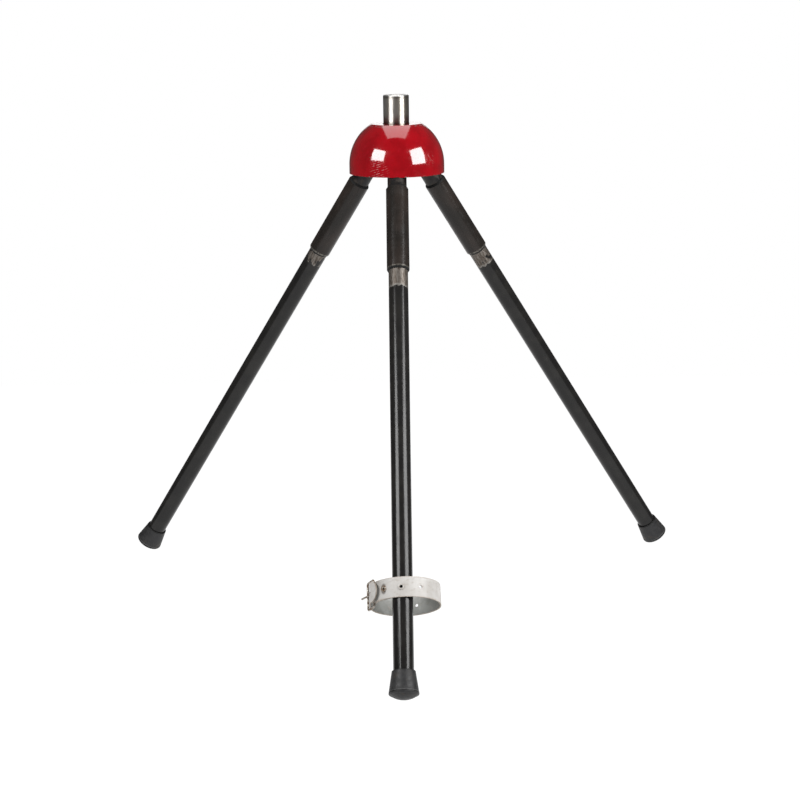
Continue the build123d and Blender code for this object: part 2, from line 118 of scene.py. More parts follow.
class Shader:
    """A node material while it is being built."""

    def __init__(self, name):
        self.material = bpy.data.materials.new(name)
        self.material.use_nodes = True
        self.tree = self.material.node_tree
        self.surface = self.tree.nodes["Principled BSDF"]

    def put(self, socket, value):
        """Links a socket's value, or sets a plain one."""
        if isinstance(value, bpy.types.NodeSocket):
            self.tree.links.new(value, socket)
        else:
            socket.default_value = value

    def add(self, kind, inputs, output=0, **settings):
        """Adds a node, fills its inputs and returns one of its outputs."""
        node = self.tree.nodes.new("ShaderNode" + kind)
        for setting, value in settings.items():
            setattr(node, setting, value)
        for key, value in inputs.items():
            self.put(node.inputs[key], value)
        return node.outputs[output]

    def own_axes(self, place):
        """Position on the piece in millimetres, in the axes of the matrix place."""
        position = self.add("TexCoord", {}, output="Object")
        placed = {
            "Vector": position,
            "Location": place.translation,
            "Rotation": place.to_euler(),
            "Scale": (MM, MM, MM),
        }
        return self.add("Mapping", placed, vector_type="TEXTURE")

    def parts(self, vector):
        """The three coordinates of a vector."""
        node = self.tree.nodes.new("ShaderNodeSeparateXYZ")
        self.put(node.inputs[0], vector)
        return node.outputs[0], node.outputs[1], node.outputs[2]

    def calc(self, operation, a, b=0.0, c=0.0):
        """One arithmetic step on values."""
        return self.add("Math", {0: a, 1: b, 2: c}, operation=operation)

    def ramp(self, value, start, end, low=0.0, high=1.0):
        """Goes smoothly from low to high while value goes from start to end."""
        if start > end:
            start, end, low, high = end, start, high, low
        inputs = {0: value, 1: start, 2: end, 3: low, 4: high}
        return self.add("MapRange", inputs, interpolation_type="SMOOTHSTEP")

    def grain(self, vector, size, detail=3.0, stretch=(1, 1, 1), roughness=0.5):
        """Cloudy noise with blobs about size millimetres wide, longer where stretch is above 1."""
        scale = tuple(1 / (size * part) for part in stretch)
        scaled = self.add("Mapping", {"Vector": vector, "Scale": scale})
        inputs = {"Vector": scaled, "Scale": 1.0, "Detail": detail, "Roughness": roughness}
        return self.add("TexNoise", inputs)

    def mix(self, factor, a, b):
        """Colour a where factor is 0 and b where it is 1."""
        node = self.tree.nodes.new("ShaderNodeMix")
        node.data_type = "RGBA"
        self.put(node.inputs[0], factor)
        self.put(node.inputs[6], a)
        self.put(node.inputs[7], b)
        return node.outputs[2]

    def blend(self, factor, a, b):
        """Value a where factor is 0 and b where it is 1."""
        return self.add("Mix", {0: factor, 2: a, 3: b}, data_type="FLOAT")

    def near(self, vector, centre, radius, soft):
        """1 within radius of a point, fading to 0 over the soft distance."""
        distance = self.add("VectorMath", {0: vector, 1: centre}, output="Value", operation="DISTANCE")
        return self.ramp(distance, radius + soft, radius)

    def stripe(self, value, start, full, fading, end):
        """1 while value lies between full and fading, going smoothly to 0 at start and at end."""
        return self.calc("MULTIPLY", self.ramp(value, start, full), self.ramp(value, end, fading))

    def bump(self, height, depth, below=None):
        """Relief depth millimetres high, on top of another relief where one is given."""
        inputs = {"Height": height, "Distance": depth * MM, "Strength": 1.0}
        if below is not None:
            inputs["Normal"] = below
        return self.add("Bump", inputs)

    def finish(self, colour, roughness, metallic, normal, specular=0.5):
        """Joins the last values to the surface and returns the material."""
        self.put(self.surface.inputs["Base Color"], colour)
        self.put(self.surface.inputs["Roughness"], roughness)
        self.put(self.surface.inputs["Metallic"], metallic)
        self.put(self.surface.inputs["Normal"], normal)
        self.surface.inputs["Specular IOR Level"].default_value = specular
        return self.material


# ---------------------------------------------------------------- materials


def dome_enamel():
    """Glossy red enamel: darker clouds, fine orange peel, chips on its edges, scratches with a painted glint."""
    shader = Shader("dome_enamel")
    own = shader.own_axes(dome_place)
    height = shader.parts(own)[2]
    clouds = shader.ramp(shader.grain(own, 38, 4), 0.4, 0.66)
    colour = shader.mix(clouds, rgb(0.262, 0.0014, 0.0050), rgb(0.205, 0.0010, 0.0038))
    tint = shader.ramp(shader.grain(own, 9, 3), 0.5, 0.72, 0, 0.5)
    colour = shader.mix(tint, colour, rgb(0.270, 0.0030, 0.0090))

    rim = shader.ramp(height, 3.5, 0.5)
    crown = shader.ramp(height, dome_height - 7, dome_height - 3)
    edges = shader.calc("MAXIMUM", rim, crown)
    chip_level = shader.calc("ADD", shader.grain(own, 2.6, 5), shader.calc("MULTIPLY", edges, 0.16))
    chips = shader.ramp(chip_level, 0.74, 0.77)
    colour = shader.mix(chips, colour, rgb(0.10, 0.085, 0.08))

    scuffs = dome_scratch_glints(shader, own)
    # Scratches drawn lighter red: their own wear, and partly a painted glint of the softboxes.
    colour = shader.mix(shader.calc("MULTIPLY", scuffs, 0.5), colour, rgb(0.45, 0.17, 0.16))
    haze = shader.ramp(shader.grain(own, 14, 5), 0.42, 0.7, 0.085, 0.16)
    roughness = shader.blend(scuffs, haze, 0.42)
    roughness = shader.blend(chips, roughness, 0.55)
    peel = shader.bump(shader.grain(own, 5, 2), 0.06)
    relief = shader.bump(shader.grain(own, 60, 1), 0.9, peel)
    relief = shader.bump(shader.calc("ADD", chips, scuffs), -0.06, relief)
    shader.surface.inputs["Coat Weight"].default_value = 0.9
    shader.surface.inputs["Coat Roughness"].default_value = 0.07
    return shader.finish(colour, roughness, 0.0, relief, specular=0.5)


def dome_scratch_glints(shader, own):
    """Two patches of fine scratches by the dome's highlights, arcs on one and hatching on the other."""
    patches = (
        {"azimuth": -112, "height": 0.16, "radius": 26, "tilt": 0.35, "pitch": 4.4},
        {"azimuth": -46, "height": 0.34, "radius": 20, "tilt": -0.9, "pitch": 3.2},
    )
    total = 0.0
    for patch in patches:
        angle = math.radians(patch["azimuth"])
        centre = (
            dome_radius * math.cos(angle),
            dome_radius * math.sin(angle),
            dome_height * patch["height"],
        )
        turned = shader.add("Mapping", {"Vector": own, "Rotation": (0, patch["tilt"], 0)})
        waves = shader.add(
            "TexWave",
            {
                "Vector": turned,
                "Scale": 1 / (patch["pitch"] * math.tau / 2),
                "Distortion": 3.4,
                "Detail": 2.5,
                "Detail Scale": 0.6,
            },
            output=1,
            bands_direction="Z",
        )
        lines = shader.ramp(waves, 0.86, 0.97)
        broken = shader.ramp(shader.grain(own, 5, 3), 0.44, 0.56)
        patch_mask = shader.near(own, centre, patch["radius"] * 0.4, patch["radius"] * 0.6)
        mark = shader.calc("MULTIPLY", shader.calc("MULTIPLY", lines, broken), patch_mask)
        total = shader.calc("MAXIMUM", total, mark)
    return total


def polished_steel():
    """Turned bar: fine rings, a brown cast, darker towards its foot, a dark band under a painted top highlight."""
    shader = Shader("polished_steel")
    own = shader.own_axes(spindle_place)
    height = shader.parts(own)[2]
    cast = shader.ramp(shader.grain(own, 24, 3, stretch=(1, 1, 3)), 0.40, 0.66)
    colour = shader.mix(cast, rgb(0.50, 0.485, 0.455), rgb(0.37, 0.34, 0.29))
    specks = shader.ramp(shader.grain(own, 1.5, 4), 0.68, 0.76, 0, 0.8)
    colour = shader.mix(specks, colour, rgb(0.10, 0.08, 0.06))
    # Darker towards the foot, where the bar meets the dome.
    darker_foot = shader.ramp(height, 8, 0, 0, 0.8)
    band = shader.ramp(height, spindle_height - 9, spindle_height - 4, 0, 0.45)
    colour = shader.mix(shader.calc("MAXIMUM", darker_foot, band), colour, rgb(0.10, 0.09, 0.075))
    # Painted highlight: a pale ring on the top edge, where its chamfer would catch the light.
    painted_top_highlight = shader.ramp(height, spindle_height - 2.4, spindle_height - 1.2)
    colour = shader.mix(painted_top_highlight, colour, rgb(0.74, 0.73, 0.71))
    rings = shader.grain(own, 0.7, 2, stretch=(60, 60, 1))
    roughness = shader.ramp(shader.grain(own, 12, 4), 0.35, 0.7, 0.33, 0.40)
    # Lathe marks run round the bar, so they smear what it mirrors up and down.
    round_bar = shader.add("Tangent", {}, direction_type="RADIAL", axis="Z")
    shader.put(shader.surface.inputs["Tangent"], round_bar)
    shader.surface.inputs["Anisotropic"].default_value = 0.9
    shader.surface.inputs["Anisotropic Rotation"].default_value = 0.25
    relief = shader.bump(rings, 0.02)
    relief = shader.bump(shader.grain(own, 6, 3), 0.012, relief)
    return shader.finish(colour, roughness, 1.0, relief)


def plain_steel():
    """Hidden working parts: grey steel with mill scale, oil stains and file marks."""
    shader = Shader("plain_steel")
    own = shader.own_axes(dome_place)
    scale = shader.ramp(shader.grain(own, 16, 6), 0.42, 0.62)
    colour = shader.mix(scale, rgb(0.36, 0.35, 0.33), rgb(0.19, 0.175, 0.16))
    rust = shader.ramp(shader.grain(own, 5, 5), 0.62, 0.72)
    colour = shader.mix(rust, colour, rgb(0.19, 0.085, 0.04))
    roughness = shader.blend(rust, shader.ramp(scale, 0, 1, 0.34, 0.5), 0.8)
    metallic = shader.blend(rust, 1.0, 0.3)
    relief = shader.bump(shader.grain(own, 0.8, 3, stretch=(1, 8, 1)), 0.03)
    relief = shader.bump(rust, 0.05, relief)
    return shader.finish(colour, roughness, metallic, relief)


def zinc():
    """Zinc plate: pale, slightly blue, spangled, with white bloom."""
    shader = Shader("zinc")
    own = shader.own_axes(dome_place)
    spangle = shader.ramp(shader.grain(own, 3, 2), 0.3, 0.7)
    colour = shader.mix(spangle, rgb(0.42, 0.43, 0.45), rgb(0.56, 0.56, 0.57))
    bloom = shader.ramp(shader.grain(own, 6, 5), 0.6, 0.75)
    colour = shader.mix(bloom, colour, rgb(0.62, 0.61, 0.58))
    roughness = shader.blend(bloom, 0.34, 0.7)
    metallic = shader.blend(bloom, 1.0, 0.4)
    return shader.finish(colour, roughness, metallic, shader.bump(bloom, 0.03))


# How much of its sleeve's travel is rubbed bare on each leg. The rear ones are rubbed in patches,
# wherever their cloudy noise is above a level.
WORN_SHARE = {"front": 1.0, "left": 0.70, "right": 0.90}
PATCH_LEVEL = {"left": 0.47, "right": 0.38}


def leg_paint(leg):
    """Gloss black tube, rubbed down to brown-grey steel over the travel of its sleeve."""
    shader = Shader(f"black_paint_{leg}")
    place = leg_places[leg]
    own = shader.own_axes(place)
    along = shader.parts(own)[2]
    sleeve_end = reach(f"{leg}_lock_sleeve", place)[1].z
    travel = joints[f"{leg}_sleeve_slide"]["range_m"][1] / MM
    colour = shader.mix(
        shader.ramp(shader.grain(own, 30, 4), 0.4, 0.65),
        rgb(0.0115, 0.0110, 0.0108),
        rgb(0.0160, 0.0152, 0.0142),
    )
    rubs = shader.ramp(shader.grain(own, 2.4, 5, stretch=(1, 1, 9)), 0.66, 0.76, 0, 0.5)
    colour = shader.mix(rubs, colour, rgb(0.050, 0.047, 0.043))
    gloss = shader.ramp(shader.grain(own, 18, 5), 0.35, 0.7, 0.15, 0.23)

    worn_end = sleeve_end + WORN_SHARE[leg] * travel
    jag = shader.grain(own, 7, 5, stretch=(1, 1, 1.6))
    edge = shader.calc("ADD", along, shader.calc("MULTIPLY", shader.calc("SUBTRACT", jag, 0.5), 13))
    worn = shader.ramp(edge, worn_end + 0.6, worn_end - 0.6)
    lip = shader.calc("MULTIPLY", worn, shader.ramp(edge, worn_end - 5, worn_end - 2))
    if leg in PATCH_LEVEL:
        level = PATCH_LEVEL[leg]
        patches = shader.ramp(shader.grain(own, 12, 4, stretch=(1, 1, 1.5)), level, level + 0.05)
        worn = shader.calc("MULTIPLY", worn, patches)
    steel = worn_steel(shader, own)
    steel = shader.mix(shader.calc("MULTIPLY", lip, 0.8), steel, rgb(0.20, 0.19, 0.175))
    colour = shader.mix(worn, colour, steel)
    roughness = shader.blend(worn, gloss, shader.ramp(jag, 0.3, 0.7, 0.40, 0.54))
    metallic = shader.calc("MULTIPLY", worn, 0.7)
    peel = shader.bump(shader.grain(own, 4, 2), 0.022)
    relief = shader.bump(worn, -0.12, peel)
    relief = shader.bump(shader.calc("MULTIPLY", worn, jag), 0.05, relief)
    return shader.finish(colour, roughness, metallic, relief, specular=0.25)


def worn_steel(shader, own):
    """Colour of steel rubbed bare by a sliding sleeve: streaks down the tube and dark spots."""
    streaks = shader.ramp(shader.grain(own, 3.2, 4, stretch=(1, 1, 5)), 0.38, 0.62)
    colour = shader.mix(streaks, rgb(0.085, 0.070, 0.058), rgb(0.165, 0.148, 0.132))
    spots = shader.ramp(shader.grain(own, 4.5, 4, stretch=(1, 1, 1.8)), 0.60, 0.68)
    return shader.mix(shader.calc("MULTIPLY", spots, 0.8), colour, rgb(0.035, 0.025, 0.020))


def stub_paint(leg):
    """Short tube under the dome: black paint, darkened as painted shade of the dome, dulled by grease and
    handling.
    """
    shader = Shader(f"stub_paint_{leg}")
    own = shader.own_axes(leg_places[leg])
    grease = shader.ramp(shader.grain(own, 12, 5), 0.38, 0.66)
    # The darker colour is darker than the leg tube's paint: painted shade under the dome.
    colour = shader.mix(grease, rgb(0.006, 0.0055, 0.006), rgb(0.023, 0.018, 0.014))
    scuffs = shader.ramp(shader.grain(own, 1.8, 5, stretch=(1, 1, 6)), 0.64, 0.74, 0, 0.6)
    colour = shader.mix(scuffs, colour, rgb(0.080, 0.066, 0.054))
    roughness = shader.ramp(grease, 0, 1, 0.28, 0.5)
    relief = shader.bump(shader.grain(own, 5, 4), 0.05)
    return shader.finish(colour, roughness, 0.1, relief, specular=0.3)


def sleeve_steel(leg):
    """Dark worn sleeve: faint drawn lines and a brown cast of oil.

    Both ends are painted black as shade; the pale line inside the lower one is wear and a painted highlight.
    """
    shader = Shader(f"sleeve_steel_{leg}")
    place = leg_places[leg]
    own = shader.own_axes(place)
    along = shader.parts(own)[2]
    low, high = reach(f"{leg}_lock_sleeve", place)
    cast = shader.ramp(shader.grain(own, 26, 5, stretch=(1, 1, 2.5)), 0.36, 0.66)
    colour = shader.mix(cast, rgb(0.0125, 0.0108, 0.0095), rgb(0.0225, 0.0172, 0.0148))
    drawn = shader.ramp(shader.grain(own, 1.1, 4, stretch=(1, 1, 30)), 0.58, 0.8, 0, 0.45)
    colour = shader.mix(drawn, colour, rgb(0.050, 0.045, 0.039))
    break_up = shader.ramp(shader.grain(own, 3, 4), 0.36, 0.56)
    # Pale line above the lower end: rubbed steel, and partly a painted highlight on the sleeve's lip.
    bottom_line = shader.stripe(along, high.z - 7.5, high.z - 6, high.z - 4.4, high.z - 3.4)
    rubbed = shader.calc("MULTIPLY", bottom_line, break_up)
    colour = shader.mix(shader.calc("MULTIPLY", rubbed, 0.85), colour, rgb(0.17, 0.16, 0.14))
    # Painted shade: both ends near black, for the chamfer at the bottom and the gap at the top.
    painted_shade_ends = shader.calc(
        "MAXIMUM",
        shader.ramp(along, high.z - 4.2, high.z - 3.2),
        shader.ramp(along, low.z + 4.6, low.z + 3.6),
    )
    colour = shader.mix(painted_shade_ends, colour, rgb(0.004, 0.004, 0.004))
    nicks = shader.ramp(shader.grain(own, 1.5, 4), 0.70, 0.75)
    colour = shader.mix(nicks, colour, rgb(0.10, 0.095, 0.085))
    rough = shader.ramp(shader.grain(own, 15, 4), 0.35, 0.7, 0.22, 0.32)
    rough = shader.blend(painted_shade_ends, rough, 0.7)
    relief = shader.bump(drawn, 0.015)
    relief = shader.bump(shader.grain(own, 9, 3), 0.06, relief)
    return shader.finish(colour, rough, shader.calc("MULTIPLY", rubbed, 0.6), relief, specular=0.25)


LIP_ABOVE_SOLE = 13.0         # from the middle of a rubber tip's sole up to its moulded lip


def grey_rubber(leg):
    """Moulded rubber tip: matt skin, a lip near its widest place with painted highlight and shade, brown dust, a
    mouth in painted shade.
    """
    shader = Shader(f"grey_rubber_{leg}")
    place = leg_places[leg]
    own = shader.own_axes(place)
    along = shader.parts(own)[2]
    low, high = reach(f"{leg}_rubber_tip", place)
    lip = high.z - LIP_ABOVE_SOLE
    skin = shader.ramp(shader.grain(own, 8, 5), 0.36, 0.66)
    colour = shader.mix(skin, rgb(0.0190, 0.0190, 0.0200), rgb(0.0270, 0.0270, 0.0275))
    dust = shader.ramp(shader.grain(own, 17, 5), 0.54, 0.70, 0, 0.6)
    colour = shader.mix(dust, colour, rgb(0.046, 0.037, 0.029))
    # The lip is painted lighter above as a highlight and near black below as the shade under its step.
    lip_ridge_highlight = shader.stripe(along, lip - 1.9, lip - 1.3, lip - 0.3, lip + 0.2)
    lip_shade_line = shader.stripe(along, lip - 0.3, lip + 0.2, lip + 1.3, lip + 1.9)
    colour = shader.mix(shader.calc("MULTIPLY", lip_ridge_highlight, 0.6), colour, rgb(0.10, 0.10, 0.10))
    # Painted shade: the mouth's edge drawn near black, as the shadow line in the gap round the tube.
    mouth = shader.ramp(along, low.z + 2.2, low.z + 1.4)
    colour = shader.mix(shader.calc("MAXIMUM", lip_shade_line, mouth), colour, rgb(0.004, 0.004, 0.004))
    roughness = shader.ramp(skin, 0, 1, 0.46, 0.60)
    relief = shader.bump(shader.grain(own, 0.9, 3), 0.04)
    relief = shader.bump(lip_ridge_highlight, 0.6, relief)
    return shader.finish(colour, roughness, 0.0, relief, specular=0.3)


def rusty_steel(name, axes):
    """Dull wire and rivets: brown rust over grey steel, brighter where they rub."""
    shader = Shader(name)
    own = shader.own_axes(axes)
    rust = shader.ramp(shader.grain(own, 3.2, 5), 0.40, 0.58)
    colour = shader.mix(rust, rgb(0.42, 0.40, 0.36), rgb(0.155, 0.095, 0.055))
    deep = shader.ramp(shader.grain(own, 1.3, 4), 0.58, 0.68)
    colour = shader.mix(deep, colour, rgb(0.060, 0.036, 0.024))
    roughness = shader.blend(rust, 0.34, 0.72)
    metallic = shader.blend(rust, 1.0, 0.35)
    relief = shader.bump(shader.grain(own, 0.7, 4), 0.08)
    return shader.finish(colour, roughness, metallic, relief)


def pale_rivet(axes):
    """Hollow rivet through strap and leg: a pale, worn flange, painted dark round its bore as shade."""
    shader = Shader("pale_rivet")
    own = shader.own_axes(axes)
    _, sideways, down = shader.parts(own)
    squares = [shader.calc("POWER", part, 2) for part in (sideways, down)]
    spread = shader.calc("SQRT", shader.calc("ADD", *squares))
    tarnish = shader.ramp(shader.grain(own, 2.2, 5), 0.45, 0.68)
    colour = shader.mix(tarnish, rgb(0.60, 0.575, 0.54), rgb(0.30, 0.265, 0.225))
    # Painted shade: near black within about 3 mm of the middle, round the bore.
    bore = shader.ramp(spread, 3.3, 2.7)
    colour = shader.mix(bore, colour, rgb(0.010, 0.009, 0.008))
    roughness = shader.blend(bore, shader.ramp(tarnish, 0, 1, 0.32, 0.6), 0.9)
    metallic = shader.ramp(bore, 0, 1, 0.45, 0)
    relief = shader.bump(shader.grain(own, 0.8, 4), 0.05)
    return shader.finish(colour, roughness, metallic, relief)


def fold_rivet_space(shader, own):
    """Position measured from the rivet in the strap's fold, squeezed along the strap's width."""
    low, high = reach("buckle_rivet", strap_place)
    middle = (low + high) / 2
    squeeze = 0.6
    placed = {
        "Vector": own,
        "Location": (-middle.x, -middle.y, -middle.z * squeeze),
        "Scale": (1, 1, squeeze),
    }
    return shader.add("Mapping", placed)


def strap_material(side, axes, half):
    """Aged white strap: pebbled face, darker back, browned edges, rust and painted shade round the fold's rivet.
    """
    shader = Shader(f"pale_strap_{side}")
    own = shader.own_axes(axes)
    across = shader.calc("ABSOLUTE", shader.parts(own)[2])
    tones = {
        "face": (rgb(0.52, 0.505, 0.485), rgb(0.46, 0.44, 0.415)),
        "back": (rgb(0.27, 0.275, 0.26), rgb(0.20, 0.20, 0.185)),
        "edge": (rgb(0.27, 0.235, 0.20), rgb(0.16, 0.125, 0.095)),
    }
    clouds = shader.ramp(shader.grain(own, 20, 5), 0.36, 0.68)
    colour = shader.mix(clouds, *tones[side])
    soil = shader.ramp(shader.grain(own, 5, 5, stretch=(2, 2, 1)), 0.56, 0.72, 0, 0.5)
    colour = shader.mix(soil, colour, rgb(0.37, 0.33, 0.29))
    # Dark patch round the fold's rivet: rust, and partly painted shade on the rivet's side.
    rust_and_shade = shader.near(fold_rivet_space(shader, own), (0, 0, 0), 5.0, 2.5)
    colour = shader.mix(shader.calc("MULTIPLY", rust_and_shade, 0.75), colour, rgb(0.070, 0.050, 0.038))
    border = shader.ramp(across, half - 2.2, half - 0.4)
    browned = shader.calc("MULTIPLY", border, shader.ramp(shader.grain(own, 7, 4), 0.3, 0.7, 0.2, 0.75))
    colour = shader.mix(browned, colour, rgb(0.43, 0.37, 0.31))
    cells = {"Vector": own, "Scale": 0.9, "Randomness": 1.0}
    relief = shader.bump(shader.add("TexVoronoi", cells, feature="F1"), 0.05)
    relief = shader.bump(shader.grain(own, 3, 3, stretch=(1, 1, 6)), 0.10, relief)
    roughness = shader.blend(browned, shader.ramp(soil, 0, 0.5, 0.46, 0.6), 0.72)
    return shader.finish(colour, roughness, 0.0, relief, specular=0.35)


def wear(node, material):
    """Gives a CAD node its material."""
    slots = nodes[node].data.materials
    slots.clear()
    slots.append(material)


def finish_metal_and_rubber():
    """Materials of every CAD node that stays in view."""
    wear("dome_shell", dome_enamel())
    wear("spindle", polished_steel())
    steel = plain_steel()
    plated = zinc()
    for node in ("hub_plate", "spindle_spacer"):
        wear(node, steel)
    for node in ("spindle_washer", "spindle_nut"):
        wear(node, plated)
    for leg in LEGS:
        wear(f"{leg}_leg_tube", leg_paint(leg))
        wear(f"{leg}_stub_tube", stub_paint(leg))
        wear(f"{leg}_lock_sleeve", sleeve_steel(leg))
        wear(f"{leg}_rubber_tip", grey_rubber(leg))
        for part in ("knuckle_fork", "knuckle_tongue", "hinge_pin", "stub_pin", "plug_pins"):
            wear(f"{leg}_{part}", steel)
        wear(f"{leg}_tip_washer", plated)
    strap_metal = rusty_steel("rusty_steel", strap_place)
    for node in ("buckle_frame", "buckle_prong", "buckle_rivet"):
        wear(node, strap_metal)
    wear("strap_rivet", pale_rivet(strap_place))


# ---------------------------------------------------------------- the bundling strap

# Lengths in millimetres, angles in degrees round the loop from the leg's rivet.
THICKNESS = 2.6
GAP = 0.35                    # between the strap's layers and the buckle's wire
WIRE_RADIUS = 2.0
HOLE_RADIUS = 3.0
HOLE_ANGLES = (-31.5, -99.0, -166.5)
RIVET_HOLE_RADIUS = 3.3
FOLD_END_ANGLE = 21.0
FOLD_RIVET_ANGLE = 30.0
FOLD_SPREAD = 9.6             # degrees before the bar where the fold's layers part
FAR_END_ANGLE = 77.0          # where the strap leaves its circle to pass the buckle's far wire
TAIL_LENGTH = 25.0
TAIL_STEPS = 12
SLOT_WIDTH = 6.5
SLOT_LENGTH = 22.0
SLOT_PAST_WRAP = 2.4          # how far the bar's slot runs past the bend on each side
SLOT_PAST_TAIL = 0.5          # how far the tail's slot runs past the bar
EDGE_STEPS = 200              # corners along each long edge of the flat strap
END_STEPS = 24                # steps round the tail's half circle
ROWS = 18                     # rows of faces across the strap
CLEAR = 0.7                   # inner corners keep this far from every edge
FREE_ANGLES = (-20, -250)     # round the loop, between which the strap may belly
EASE_IN = 25.0                # length over which the bellying starts and stops
BELLY = {"height": 1.1, "along": 46, "across": 70, "seed": 3.1}
RIPPLE = {"height": 0.22, "along": 13, "across": 9, "seed": 7.7}


def on_loop(radius, angle):
    """Point in the plane of the loop, by its distance and angle from the middle."""
    return Vector((radius * math.cos(math.radians(angle)), radius * math.sin(math.radians(angle))))


def arc(centre, radius, start, sweep, step):
    """Points along an arc, its first one left out."""
    count = math.ceil(abs(sweep) / step)
    return [centre + on_loop(radius, start + sweep * i / count) for i in range(1, count + 1)]


def easing(start, start_way, end, end_way, count):
    """Points of a smooth curve that leaves and arrives in the given directions, first one left out."""
    length = (end - start).length
    points = []
    for i in range(1, count + 1):
        t = i / count
        points.append(
            (2 * t**3 - 3 * t**2 + 1) * start
            + (t**3 - 2 * t**2 + t) * length * start_way
            + (3 * t**2 - 2 * t**3) * end
            + (t**3 - t**2) * length * end_way
        )
    return points


class StrapLine:
    """Middle line of the strap from the end of its fold, round the bar and the loop, to its tail."""

    def __init__(self, radius, bar):
        bar_radius = bar.length
        bar_angle = math.degrees(math.atan2(bar.y, bar.x))
        wrap = WIRE_RADIUS + GAP + THICKNESS / 2
        inner = 2 * bar_radius - radius
        parting = bar_angle - FOLD_SPREAD
        tail_radius = bar_radius + wrap + THICKNESS + GAP
        onward = on_loop(1, bar_angle + 90)
        parting_way = on_loop(1, parting + 90)
        zero = Vector((0, 0))
        self.points = [on_loop(inner, FOLD_END_ANGLE)]
        self.points += arc(zero, inner, FOLD_END_ANGLE, parting - FOLD_END_ANGLE, 2)
        under_bar = on_loop(bar_radius - wrap, bar_angle)
        self.points += easing(self.points[-1], parting_way, under_bar, onward, 6)
        self.wrap_start = len(self.points) - 1
        self.points += arc(bar, wrap, bar_angle - 180, 180, 12)
        self.wrap_end = len(self.points) - 1
        loop_start = on_loop(radius, parting)
        self.points += easing(self.points[-1], -onward, loop_start, -parting_way, 6)
        self.loop_from = len(self.points) - 1
        self.loop_angle = parting
        self.points += arc(zero, radius, parting, FAR_END_ANGLE - 360 - parting, 2)
        tail_start = on_loop(tail_radius, bar_angle)
        self.points += easing(self.points[-1], -on_loop(1, FAR_END_ANGLE + 90), tail_start, -onward, 12)
        self.tail_from = len(self.points) - 1
        for i in range(1, TAIL_STEPS + 1):
            self.points.append(tail_start - onward * TAIL_LENGTH * i / TAIL_STEPS)
        self.radius = radius
        self.inner = inner
        self.lengths = [0.0]
        for last, point in zip(self.points, self.points[1:]):
            self.lengths.append(self.lengths[-1] + (point - last).length)

    def length_at(self, angle):
        """Length along the strap to an angle on its loop."""
        return self.lengths[self.loop_from] + math.radians(self.loop_angle - angle) * self.radius

    def fold_length_at(self, angle):
        """Length along the strap to an angle on the fold's inner layer."""
        return math.radians(angle - FOLD_END_ANGLE) * self.inner

    def at(self, length):
        """Point on the middle line and the direction of the strap's face there."""
        i = min(max(bisect.bisect_right(self.lengths, length) - 1, 0), len(self.points) - 2)
        share = (length - self.lengths[i]) / (self.lengths[i + 1] - self.lengths[i])
        point = self.points[i].lerp(self.points[i + 1], share)
        way = self.way(i).lerp(self.way(i + 1), share).normalized()
        return point, Vector((-way.y, way.x))

    def way(self, i):
        """Direction of the line at one of its points."""
        before = self.points[max(i - 1, 0)]
        after = self.points[min(i + 1, len(self.points) - 1)]
        return (after - before).normalized()


def circle_outline(u, v, radius, count=20):
    """Corners of a punched hole in the flat strap."""
    turns = [math.tau * i / count for i in range(count)]
    return [Vector((u + radius * math.cos(turn), v + radius * math.sin(turn))) for turn in turns]


def slot_outline(start, end, width, count=8):
    """Corners of a slot with rounded ends in the flat strap."""
    half = width / 2
    corners = []
    for centre, first in ((end - half, -90), (start + half, 90)):
        for i in range(count + 1):
            turn = math.radians(first + 180 * i / count)
            corners.append(Vector((centre + half * math.cos(turn), half * math.sin(turn))))
    return corners


def strap_outline(total, half):
    """Edge of the flat strap: square at the fold's end, half round at the tail."""
    corners = [Vector((0, half)), Vector((0, -half))]
    corners += [Vector(((total - half) * i / EDGE_STEPS, -half)) for i in range(1, EDGE_STEPS)]
    for i in range(END_STEPS + 1):
        turn = math.radians(-90 + 180 * i / END_STEPS)
        corners.append(Vector((total - half + half * math.cos(turn), half * math.sin(turn))))
    corners += [Vector(((total - half) * i / EDGE_STEPS, half)) for i in range(EDGE_STEPS - 1, 0, -1)]
    return corners


def inside(point, outline):
    """Whether a point lies within a closed outline."""
    hit = False
    for a, b in zip(outline, outline[1:] + outline[:1]):
        if (a.y > point.y) != (b.y > point.y):
            if point.x < a.x + (point.y - a.y) * (b.x - a.x) / (b.y - a.y):
                hit = not hit
    return hit


